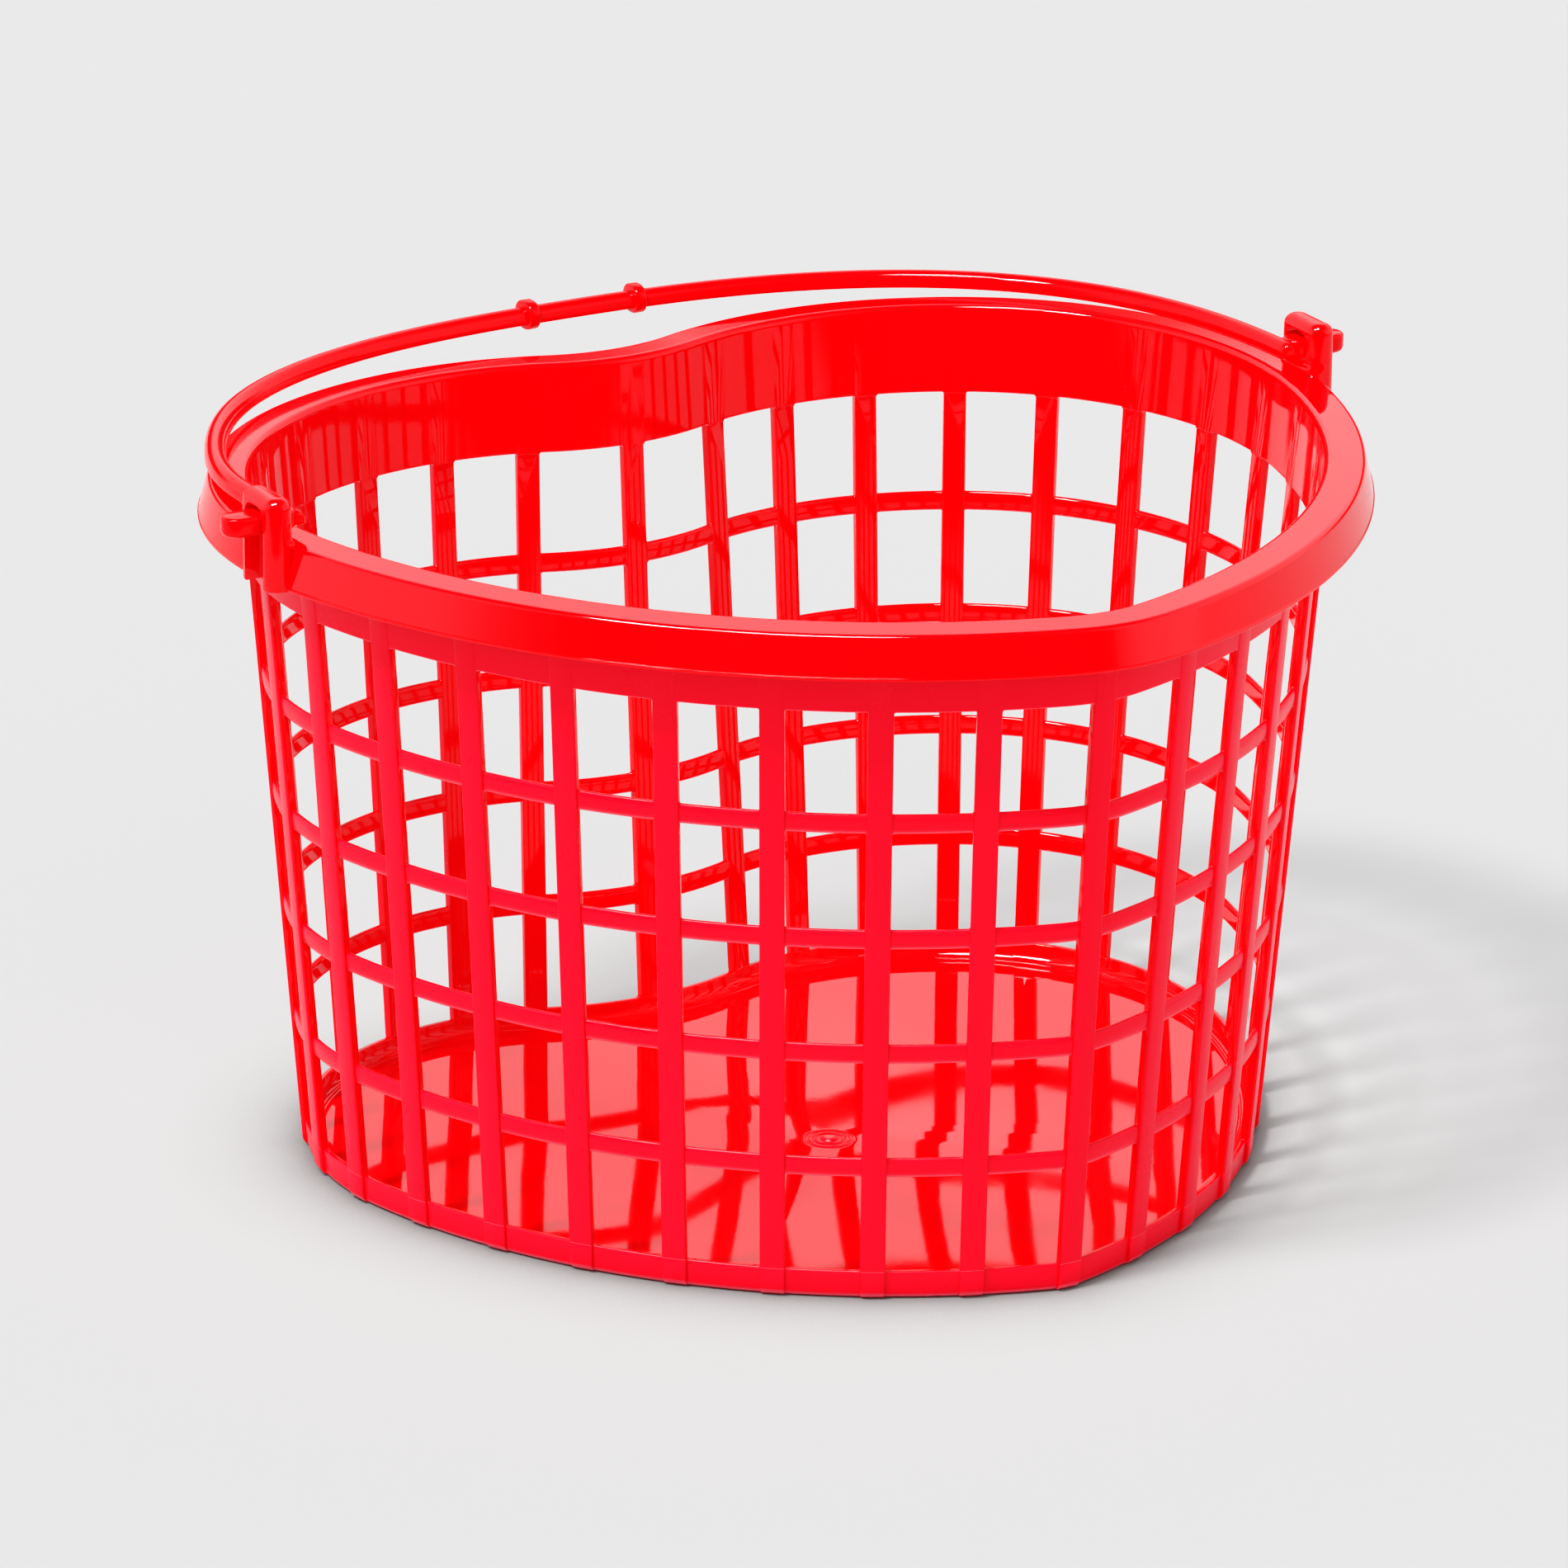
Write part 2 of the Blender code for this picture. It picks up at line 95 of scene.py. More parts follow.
RIM_OUTER, RIM_THICKNESS = 8.8, 1.8
RIM_FALL = 0.5  # the rim's top slopes out by this much
SKIRT_OUTER, SKIRT_DROP, SKIRT_THICKNESS = 11.3, 10.6, 1.7
SKIRT_LOW = HEIGHT - SKIRT_DROP
BAND_INSET = 0.12  # the band under the rim lies this far behind the slats' faces

joint = frame["record"]["behaviour"]["joints"][0]
PIVOT = [1000 * c for c in joint["pos_m"]]
EAR_X, EAR_RADIUS, EAR_HALF, EAR_TOP = 142.9, 3.5, 4.6, 181.2
EAR_DOME, EAR_FOOT, EAR_SADDLE, SADDLE_START = 2.7, 0.7, 1.1, 6
SLOT_HALF, SLOT_TOP, SLOT_SILL, SLOT_BACK_X = 4.5, 179.1, 170.05, 142.3

BAIL_HALF, BAIL_DEPTH, BAIL_EXPONENT, BAIL_TILT = 136.2, 117.7, 2.455, -0.9
BAIL_END_Y = -3.0
ARM_SPRING, SPRING_Y, SPRING_LENGTH = 1.8, 34, 24
ROD_WIDTH, ROD_THICKNESS = 5.2, 4.0
# one lip under the rod: inset from its side, height above its underside
ROD_LIP = ((0.75, 0.12), (0.6, 0.0), (0.25, 0.04), (0.0, 0.35), (0.0, 0.75))
ROD_CROWN_BASE = 0.95
ROD_NOSE = 2.0
COLLARS, COLLAR_PROUD, COLLAR_WIDTH = (-9.3, 20.7), 1.6, 3.0
COLLAR_EDGE, COLLAR_SHRINK = 0.6, 0.16
TONGUE_RADIUS, TONGUE_THICKNESS, TONGUE_IN, TONGUE_OUT = 3.7, 4.8, 139.6, 148.8
TONGUE_LOW_EDGE, TONGUE_HIGH_EDGE = 1.5, 0.9
LEFT_TONGUE_EXTRA = 2.0


# ------------------------------------------------------------------- maths
def quarter(steps):
    """Angles from zero to a right angle."""
    return [math.pi / 2 * i / steps for i in range(steps + 1)]


def bell(x, middle, width):
    return math.exp(-(((x - middle) / width) ** 2))


def signed_power(x, power):
    return math.copysign(abs(x) ** power, x)


# ----------------------------------------------------------------- outline
def along_arc(x, y, heading, radius, side, turned):
    """The point and heading reached after turning by an angle along an arc."""
    centre_x = x - side * radius * math.sin(heading)
    centre_y = y + side * radius * math.cos(heading)
    now = heading + side * turned
    return centre_x + side * radius * math.sin(now), centre_y - side * radius * math.cos(now), now


def heart_arcs():
    """Arcs of the right half: start x, y, heading, radius, side, turn. The last closes the tip."""
    arcs, x, y, heading = [], 0.0, NOTCH_Y, 0.0
    for radius, degrees, side in OUTLINE_ARCS:
        arc = (x, y, heading, radius, side, math.radians(degrees))
        arcs.append(arc)
        x, y, heading = along_arc(*arc)
    arcs.append((x, y, heading, -x / math.sin(heading), -1, math.pi + heading))
    return arcs


ARCS = heart_arcs()
HALF_LENGTH = sum(radius * turn for *_, radius, _, turn in ARCS)


def frame_at(length):
    """Point, tangent and outward normal at an arc length, 0 at the notch, positive to the right."""
    if length > HALF_LENGTH:
        length -= 2 * HALF_LENGTH
    way = 1 if length >= 0 else -1
    length *= way
    for *start, radius, side, turn in ARCS[:-1]:
        if length <= radius * turn:
            break
        length -= radius * turn
    else:
        *start, radius, side, turn = ARCS[-1]
    x, y, now = along_arc(*start, radius, side, length / radius)
    tangent = (math.cos(now), way * math.sin(now))
    return (way * x, y), tangent, (-way * math.sin(now), math.cos(now))


def slat_places():
    """Arc lengths of the slats, from the left of the tip round to the tip."""
    flank_slats = SLATS_PER_HALF - 2 - LOBE_SLATS
    pitches = [NOTCH_PITCH] + [LOBE_PITCH + LOBE_STEP * k for k in range(LOBE_SLATS)]
    pitches += [FLANK_PITCH + FLANK_STEP * k for k in range(flank_slats)] + [TIP_PITCH]
    scale = HALF_LENGTH / sum(pitches)
    places = [0.0]
    for pitch in pitches:
        places.append(places[-1] + pitch * scale)
    return [-p for p in places[-2:0:-1]] + places


def inner(z):
    """Offset of the wall's inner face."""
    return INNER_FACE - DRAFT * (HEIGHT - z)


def place(point, normal, offset, z):
    """A vertex at an offset and height, with the wall's uneven lean added."""
    nx, ny = normal
    low = max(0.0, WINDOW_TOP - z) / WINDOW_TOP
    offset += low * (FRONT_OUT * max(0.0, -ny) ** 2 - SIDE_IN * nx**2)
    step = min(1.0, max(0.0, SKIRT_LOW - z) / (SKIRT_LOW - WINDOW_TOP))
    offset -= SIDE_STEP * step * nx**2
    if point[0] > 0 and nx > 0:  # the right flank stands out a little behind its ear
        offset += RIGHT_BULGE * bell(point[1], BULGE_Y, BULGE_LENGTH) * min(1.0, 1.6 * nx)
    return ((point[0] + offset * nx) * MM, (point[1] + offset * ny) * MM, z * MM)


def ring_lines():
    """Perimeter stations, closer beside each slat, each with its rise of the corner fillet."""
    out = []
    places = slat_places()
    half = (SLAT_OUTER + SLAT_INNER) / 4
    near = [
        (half + CORNER * (1 - math.cos(a)), CORNER * (1 - math.sin(a))) for a in quarter(4)
    ]
    for here, after in zip(places, places[1:] + [2 * HALF_LENGTH + places[0]]):
        out.append((here, CORNER))
        out += [(here + away, rise) for away, rise in near]
        start, end = here + half + CORNER, after - half - CORNER
        out += [(start + (end - start) * i / 7, 0.0) for i in range(1, 7)]
        out += [(after - away, rise) for away, rise in reversed(near)]
    return [(frame_at(length), rise) for length, rise in out]


LINES = ring_lines()


# ------------------------------------------------------------------ meshes
def shade(mesh, angle):
    mesh.shade_smooth()
    mesh.set_sharp_from_angle(angle=math.radians(angle))


def finish_mesh(name, bm, angle=38):
    mesh = bpy.data.meshes.new(name)
    bm.to_mesh(mesh)
    bm.free()
    shade(mesh, angle)
    obj = bpy.data.objects.new(name, mesh)
    bpy.context.scene.collection.objects.link(obj)
    return obj


def finish_solid(name, bm, angle=38):
    """Finish a closed mesh with its faces pointing out."""
    bmesh.ops.recalc_face_normals(bm, faces=bm.faces)
    if bm.calc_volume(signed=True) < 0:
        bmesh.ops.reverse_faces(bm, faces=bm.faces)
    return finish_mesh(name, bm, angle)


def join_round(bm, rows, closed=True):
    """Join profiles standing round a loop. Open profiles get a face over each of their ends."""
    count = len(rows[0])
    for a, b in zip(rows, rows[1:] + rows[:1]):
        for j in range(count if closed else count - 1):
            k = (j + 1) % count
            bm.faces.new((a[j], b[j], b[k], a[k]))
    if not closed:
        bm.faces.new([row[0] for row in rows])
        bm.faces.new([row[-1] for row in rows])


def join_stack(bm, rows, flip_first=False):
    """Join closed sections following one another, and close both ends."""
    count = len(rows[0])
    for a, b in zip(rows, rows[1:]):
        for j in range(count):
            k = (j + 1) % count
            bm.faces.new((a[j], a[k], b[k], b[j]))
    bm.faces.new(rows[0][::-1] if flip_first else rows[0])
    bm.faces.new(rows[-1])


def ring(bm, profile, closed=True):
    """A ring round the outline from (offset, z, share of the corner fillet's rise) points."""
    rows = []
    for (point, _, normal), rise in LINES:
        row = [place(point, normal, offset, z + share * rise) for offset, z, share in profile]
        rows.append([bm.verts.new(co) for co in row])
    join_round(bm, rows, closed)


def rounded(corners, segments=4):
    """A closed polygon of (x, y, radius, tag) with its corners rounded: (x, y, tag) points."""
    out = []
    for i, (x, y, radius, tag) in enumerate(corners):
        last_x, last_y = corners[i - 1][:2]
        next_x, next_y = corners[(i + 1) % len(corners)][:2]
        back = Vector((last_x - x, last_y - y)).normalized()
        ahead = Vector((next_x - x, next_y - y)).normalized()
        turn = math.pi - back.angle(ahead)
        if radius <= 0 or turn < 0.02:
            out.append((x, y, tag))
            continue
        cut = radius * math.tan(turn / 2)
        start = Vector((x, y)) + back * cut
        end = Vector((x, y)) + ahead * cut
        reach = radius / math.cos(turn / 2)
        centre = Vector((x, y)) + (back + ahead).normalized() * reach
        spoke = start - centre
        angle = spoke.angle_signed(end - centre) * -1
        for j in range(segments + 1):
            c, s = math.cos(angle * j / segments), math.sin(angle * j / segments)
            p = centre + Vector((spoke.x * c - spoke.y * s, spoke.x * s + spoke.y * c))
            out.append((p.x, p.y, tag))
    return out


def braced(profile, edge):
    """Add a point just inside each end of the long flats, so that the flats shade flat."""
    out = []
    for (x, y, tag), (next_x, next_y, next_tag) in zip(profile, profile[1:] + profile[:1]):
        out.append((x, y, tag))
        length = math.hypot(next_x - x, next_y - y)
        if length > 2:
            for t in (edge / length, 1 - edge / length):
                out.append((x + (next_x - x) * t, y + (next_y - y) * t, tag + (next_tag - tag) * t))
    return out


def rim():
    """The band above the windows, the rim's top and the skirt hanging from its edge."""
    band_out = inner(WINDOW_TOP) + SLAT_DEPTH - BAND_INSET
    under = HEIGHT - RIM_THICKNESS
    slope = (SKIRT_OUTER - RIM_OUTER) / SKIRT_DROP
    # offset, z, radius, share of the corner fillet's rise
    corners = [
        (inner(WINDOW_TOP), WINDOW_TOP, 0.4, -1),
        (INNER_FACE, HEIGHT, 1.5, 0),
        (RIM_OUTER, HEIGHT - RIM_FALL, 1.3, 0),
        (SKIRT_OUTER - 0.22, SKIRT_LOW + 0.85, 0.1, 0),
        (SKIRT_OUTER, SKIRT_LOW + 0.7, 0.12, 0),
        (SKIRT_OUTER, SKIRT_LOW, 0.3, 0),
        (SKIRT_OUTER - SKIRT_THICKNESS, SKIRT_LOW, 0.45, 0),
        (RIM_OUTER + slope * RIM_THICKNESS - SKIRT_THICKNESS, under, 0.8, 0),
        (inner(under) + SLAT_DEPTH - BAND_INSET, under, 1.2, 0),
        (band_out, WINDOW_TOP, 0.4, -1),
    ]
    bm = bmesh.new()
    ring(bm, braced(rounded(corners, 5), edge=0.25))
    return finish_solid("rim", bm)


def hoops():
    """Level bars with rounded inner edges and a bowed outer face."""
    bm = bmesh.new()
    half = HOOP_HEIGHT / 2
    edge_depth, edge_height = 0.8, 1.0
    for k in range(HOOPS):
        middle = FIRST_HOOP + k * HOOP_PITCH
        base = inner(middle) + 0.2
        profile = []
        for a in quarter(6):  # lower inner edge
            z = middle - half + edge_height * (1 - math.cos(a))
            profile.append((base + edge_depth * (1 - math.sin(a)), z))
        for a in quarter(6):  # upper inner edge
            z = middle + half - edge_height * (1 - math.sin(a))
            profile.append((base + edge_depth * (1 - math.cos(a)), z))
        for i in range(13):  # rounded outer face
            a = math.pi / 2 - math.pi * i / 12
            offset = base + 0.9 + (HOOP_DEPTH - 0.96) * abs(math.cos(a)) ** 0.8
            profile.append((offset, middle + half * signed_power(math.sin(a), 0.9)))
        ring(bm, [(o - DRAFT * (middle - z), z, (z - middle) / half) for o, z in profile])
    return finish_solid("hoops", bm)


def slats():
    """Each slat is a drafted bar with rounded edges, rounded in at the base."""
    bm = bmesh.new()
    # z, how far the outer face is set back
    levels = [(SLAT_FOOT * (1 - math.cos(a)), SLAT_FOOT * (1 - math.sin(a))) for a in quarter(7)]
    levels += [(CURB - 0.22, 0.0), (CURB, 0.13), (CURB + 0.22, 0.0)]
    window = WINDOW_TOP + 0.9
    levels += [(CURB + 0.4 + (window - CURB - 0.4) * i / 10, 0.0) for i in range(11)]
    levels += [(WINDOW_TOP + 1.1, 0.0), (HEIGHT - RIM_THICKNESS + 0.6, 0.0)]
    half_in, half_out = SLAT_INNER / 2, SLAT_OUTER / 2
    for length in slat_places():
        (x, y), (tx, ty), normal = frame_at(length)
        rows = []
        for z, back in levels:
            # sunk into the curb and the band, nearly flush between them
            face_in = inner(z) + (0.08 if CURB - 1 < z < WINDOW_TOP + 1 else 0.8)
            face_out = inner(z) + SLAT_DEPTH - back
            face_in = min(face_in, face_out - 1.0)
            section = rounded(
                [
                    (-half_in, face_in, 0.35, 0),
                    (half_in, face_in, 0.35, 0),
                    (half_out, face_out, 0.5, 0),
                    (0, face_out + 0.05, 0, 0),
                    (-half_out, face_out, 0.5, 0),
                ]
            )
            row = [place((x + t * tx, y + t * ty), normal, offset, z) for t, offset, _ in section]
            rows.append([bm.verts.new(co) for co in row])
        join_stack(bm, rows, flip_first=True)
    return finish_solid("slats", bm)


def tray():
    """Floor and curb in one closed loft."""
    bm = bmesh.new()
    out_low = inner(0) + HOOP_DEPTH - 0.15
    profile = [(out_low - FLOOR_EDGE - 8, 0, 0), (out_low - FLOOR_EDGE - 1, 0, 0)]
    for a in quarter(7):  # lower outer edge
        z = FLOOR_EDGE * (1 - math.cos(a))
        profile.append((out_low + DRAFT * z - FLOOR_EDGE * (1 - math.sin(a)), z, 0))
    curb_in, curb_out, r = inner(CURB), out_low + DRAFT * CURB, CURB_EDGE
    for a in quarter(4):  # curb's outer edge
        profile.append((curb_out - r + r * math.cos(a), CURB - r + r * math.sin(a), 1))
    for a in quarter(4):  # curb's inner edge
        profile.append((curb_in + r - r * math.sin(a), CURB - r + r * math.cos(a), 1))
    cove_in = inner(FLOOR + COVE)
    for a in quarter(8):
        z = FLOOR + COVE * (1 - math.sin(a))
        profile.append((cove_in - COVE * (1 - math.cos(a)), z, 0))
    profile += [(cove_in - COVE - 1, FLOOR, 0), (cove_in - COVE - 8, FLOOR, 0)]
    ring(bm, profile, closed=False)
    return finish_solid("tray", bm)


def gate():
    """The sprue mark on the floor: a low button inside two faint rings."""
    profile = [(GATE_RADIUS, FLOOR - 0.6), (GATE_RADIUS, FLOOR - 0.02)]
    for i in range(81):
        r = 6.8 - 6.7 * i / 80
        rings = 0.22 * bell(r, 5.4, 0.5) + 0.26 * bell(r, 3.6, 0.42)
        button = 0.6 / (1 + math.exp((r - 1.9) / 0.14))
        profile.append((r, FLOOR + (rings + button)))
    bm = bmesh.new()
    rows = []
    for k in range(64):
        c, s = math.cos(2 * math.pi * k / 64), math.sin(2 * math.pi * k / 64)
        row = [((GATE_X + r * c) * MM, (GATE_Y + r * s) * MM, z * MM) for r, z in profile]
        rows.append([bm.verts.new(co) for co in row])
    join_round(bm, rows, closed=False)
    return finish_solid("gate", bm)


def obround_outline(radius, half, count=18):
    """Points and outward normals of an obround lying along Y."""
    out = []
    for way in (1, -1):
        for i in range(count + 1):
            a = math.pi * i / count + (0 if way > 0 else math.pi)
            c, s = math.cos(a), math.sin(a)
            out.append((radius * c, radius * s + way * half, c, s))
    return out


def ear(side):
    """A domed post on the rim, spread at its inner foot and hollowed along its top."""
    bm = bmesh.new()
    low = SKIRT_LOW - 0.4
    # z, growth of the section
    levels = [(low, -0.5), (low + 0.15, -0.15), (low + 0.5, 0.0), (HEIGHT - 1, 0.0)]
    levels += [(HEIGHT + 0.2 * i, 0.0) for i in range(0, 14, 2)]
    for a in quarter(10):
        levels.append((EAR_TOP - EAR_DOME + EAR_DOME * math.sin(a), -EAR_DOME * (1 - math.cos(a))))
    rows = []
    for z, growth in levels:
        above = z - HEIGHT
        foot = EAR_FOOT * max(0.0, 1 - max(above, 0) / 2.0) ** 2
        row = []
        for x, y, nx, ny in obround_outline(EAR_RADIUS, EAR_HALF):
            spread = foot * max(0.0, -nx) + growth
            saddle = EAR_SADDLE * bell(y, 0, 2.6) * max(0.0, above - SADDLE_START)
            saddle /= EAR_TOP - HEIGHT - SADDLE_START
            across = side * (EAR_X + x + nx * spread)
            co = (across * MM, (PIVOT[1] + y + ny * spread) * MM, (z - saddle) * MM)
            row.append(bm.verts.new(co))
        rows.append(row)
    join_stack(bm, rows)
    return finish_solid(f"ear_{'r' if side > 0 else 'l'}", bm)


def cutter(name, side, across, heights, radius, segments):
    """A block as long as the ear's slot, with bevelled edges. across is (near, far) from X = 0."""
    spans = (
        sorted(side * x for x in across),
        (PIVOT[1] - SLOT_HALF, PIVOT[1] + SLOT_HALF),
        heights,
    )
    bm = bmesh.new()
    bmesh.ops.create_cube(bm, size=1)
    for v in bm.verts:
        v.co = [MM * (high if c > 0 else low) for c, (low, high) in zip(v.co, spans)]
    bmesh.ops.bevel(
        bm,
        geom=list(bm.edges),
        offset=radius * MM,
        segments=segments,
        profile=0.5,
        affect="EDGES",
    )
    return finish_solid(name, bm)


def boolean(obj, other, operation="UNION"):
    """Join or cut obj with the other object, which is used up."""
    modifier = obj.modifiers.new("boolean", "BOOLEAN")
    modifier.operation = operation
    modifier.solver = "MANIFOLD"
    modifier.object = other
    graph = bpy.context.evaluated_depsgraph_get()
    mesh = bpy.data.meshes.new_from_object(obj.evaluated_get(graph))
    obj.modifiers.clear()
    old = obj.data
    obj.data = mesh
    bpy.data.meshes.remove(old)
    bpy.data.objects.remove(other)


def basket():
    body = rim()
    for side in (1, -1):
        post = ear(side)
        across, heights = (EAR_X - 9, EAR_X + 9), (SLOT_SILL, SLOT_TOP - 0.4)
        window = cutter("window", side, across, heights, radius=3.0, segments=8)
        across, heights = (SLOT_BACK_X, EAR_X + 12), (SKIRT_LOW - 9, SLOT_TOP - 3)
        channel = cutter("channel", side, across, heights, radius=0.6, segments=3)
        boolean(body, post)
        boolean(body, window, "DIFFERENCE")
        boolean(body, channel, "DIFFERENCE")
    for build in (slats, hoops, tray, gate):
        boolean(body, build())
    body.name = "basket_moulding"
    shade(body.data, 38)
    return body


# ------------------------------------------------------------------ handle
def bail_point(angle):
    """A point of the bail's centre line, from the right end to the left."""
    power = 2 / BAIL_EXPONENT
    x = signed_power(math.cos(angle), power) * BAIL_HALF
    y = abs(math.sin(angle)) ** power * BAIL_DEPTH
    if x < 0:  # the left arm is sprung out a little beyond its ear
        x -= ARM_SPRING * bell(y, SPRING_Y, SPRING_LENGTH)
    return Vector((x, y, 0))


def rod_profile():
    """Flat underside with a small lip each side, crowned top: (across, up) points."""
    half, bottom = ROD_WIDTH / 2, -ROD_THICKNESS / 2
    lip = [(-half + inset, bottom + rise) for inset, rise in ROD_LIP]
    crown = []
    for i in range(13):
        a = math.pi - math.pi * i / 12
        rise = (ROD_THICKNESS - ROD_CROWN_BASE) * math.sin(a) ** 0.85
        crown.append((half * math.cos(a) * 0.985, bottom + ROD_CROWN_BASE + rise))
    return lip + crown + [(-x, y) for x, y in reversed(lip)]


def even_path(points, step):
    """The polyline resampled at even steps."""
    lengths = [0.0]
    for a, b in zip(points, points[1:]):
        lengths.append(lengths[-1] + (b - a).length)
    count = max(2, round(lengths[-1] / step))
    out, k = [], 0
    for i in range(count + 1):
        want = lengths[-1] * i / count
        while k < len(points) - 2 and lengths[k + 1] < want:
            k += 1
        t = (want - lengths[k]) / max(1e-9, lengths[k + 1] - lengths[k])
        out.append(points[k].lerp(points[k + 1], t))
    return out


def sweep(name, path, scales, profile):
    """A bar along a flat path; scales gives each station's section size."""
    bm = bmesh.new()
    rows = []
    for i, (point, scale) in enumerate(zip(path, scales)):
        ahead = path[min(i + 1, len(path) - 1)] - path[max(i - 1, 0)]
        ahead.normalize()
        across = Vector((ahead.y, -ahead.x, 0))
        row = [(point + across * x * scale + Vector((0, 0, y * scale))) * MM for x, y in profile]
        rows.append([bm.verts.new(co) for co in row])
    join_stack(bm, rows)
    return finish_solid(name, bm, 50)


def rounded_ends(path, radius):
    """The path with stations added for a round nose at each end, and its section scales."""
    steps = [radius * (1 - math.cos(a)) for a in quarter(6)]
    nose = [0.45 + 0.55 * math.sqrt(max(0.0, 1 - (1 - d / radius) ** 2)) for d in steps]
    head, tail = path[0], path[-1]
    from_head, from_tail = (path[1] - head).normalized(), (path[-2] - tail).normalized()
    clear = radius + 0.3
    inside = [p for p in path if (p - head).length > clear and (p - tail).length > clear]
    out = [head + from_head * d for d in steps] + inside
    out += [tail + from_tail * d for d in reversed(steps)]
    return out, nose + [1.0] * len(inside) + nose[::-1]


def collar(x):
    """A rounded band round the rod."""
    angle = math.acos(signed_power(x / BAIL_HALF, BAIL_EXPONENT / 2))
    here = bail_point(angle)
    along = (bail_point(angle + 0.01) - here).normalized()
    stations = [-COLLAR_WIDTH / 2 + COLLAR_EDGE * (1 - math.cos(a)) for a in quarter(4)]
    stations += [-s for s in reversed(stations)]
    sizes = [1 - COLLAR_SHRINK * (1 - math.sin(a)) for a in quarter(4)]
    sizes += sizes[::-1]
    wide, tall = ROD_WIDTH / 2 + COLLAR_PROUD, ROD_THICKNESS / 2 + COLLAR_PROUD
    profile = []
    for i in range(40):
        a = 2 * math.pi * i / 40
        up = tall * signed_power(math.sin(a), 0.85)
        profile.append((-wide * signed_power(math.cos(a), 0.85), up))
    return sweep("collar", [here + along * s for s in stations], sizes, profile)


def tongue(side):
    """An obround tab that reaches out through the ear's slot."""
    bm = bmesh.new()
    # the sprung left arm pushes its tongue further through
    outer = TONGUE_OUT + (LEFT_TONGUE_EXTRA if side < 0 else 0.0)
    middle, half = (TONGUE_IN + outer) / 2, (outer - TONGUE_IN) / 2
    top = TONGUE_THICKNESS / 2
    low, high = TONGUE_LOW_EDGE, TONGUE_HIGH_EDGE
    # z, growth of the section
    levels = [(-top + low * (1 - math.cos(a)), -low * (1 - math.sin(a))) for a in quarter(5)]
    levels += [(top - high + high * math.sin(a), -high * (1 - math.cos(a))) for a in quarter(5)]
    rows = []
    for z, growth in levels:
        row = []
        for x, y, nx, ny in obround_outline(TONGUE_RADIUS, half, 16):
            co = ((side * middle + y + ny * growth) * MM, (x + nx * growth) * MM, z * MM)
            row.append(bm.verts.new(co))
        rows.append(row)
    join_stack(bm, rows)
    return finish_solid("tongue", bm)


def handle():
    raw = [bail_point(0.0005 + (math.pi - 0.001) * k / 900) for k in range(901)]
    ends = [Vector((x, BAIL_END_Y, 0)) for x in (BAIL_HALF, -BAIL_HALF)]
    path = even_path([ends[0]] + raw + [ends[1]], step=1.6)
    path, scales = rounded_ends(path, ROD_NOSE)
    rod = sweep("bail", path, scales, rod_profile())
    for x in COLLARS:
        boolean(rod, collar(x))
    for side in (1, -1):
        boolean(rod, tongue(side))
    rod.name = "bail_moulding"
    tilt = Matrix.Rotation(math.radians(BAIL_TILT), 4, "X")
    rod.data.transform(Matrix.Translation([c * MM for c in PIVOT]) @ tilt)
    shade(rod.data, 42)
    return rod


# ------------------------------------------------------------ shader nodes
class Graph:
    """Short calls for building one node tree. An input's value is a number or a socket."""

    def __init__(self, tree):
        self.nodes, self.links = tree.nodes, tree.links

    def feed(self, socket, value):
        if isinstance(value, bpy.types.NodeSocket):
            self.links.new(value, socket)
        else:
            socket.default_value = value

    def add(self, kind, inputs=None, **settings):
        node = self.nodes.new("ShaderNode" + kind)
        for key, value in settings.items():
            setattr(node, key, value)
        for key, value in (inputs or {}).items():
            self.feed(node.inputs[key], value)
        return node

    def math(self, operation, *values):
        return self.add("Math", dict(enumerate(values)), operation=operation).outputs["Value"]

    def vector(self, operation, *values, output="Vector"):
        node = self.add("VectorMath", dict(enumerate(values)), operation=operation)
        return node.outputs[output]

    def remap(self, value, start=(0.0, 1.0), end=(0.0, 1.0), smooth=False):
        """Map the start range onto the end range."""
        inputs = {"Value": value, "From Min": start[0], "From Max": start[1]}
        inputs |= {"To Min": end[0], "To Max": end[1]}
        kind = "SMOOTHSTEP" if smooth else "LINEAR"
        return self.add("MapRange", inputs, interpolation_type=kind).outputs["Result"]

    def mix_colour(self, factor, first, second):
        inputs = {0: factor, 6: first, 7: second}
        return self.add("Mix", inputs, data_type="RGBA").outputs[2]


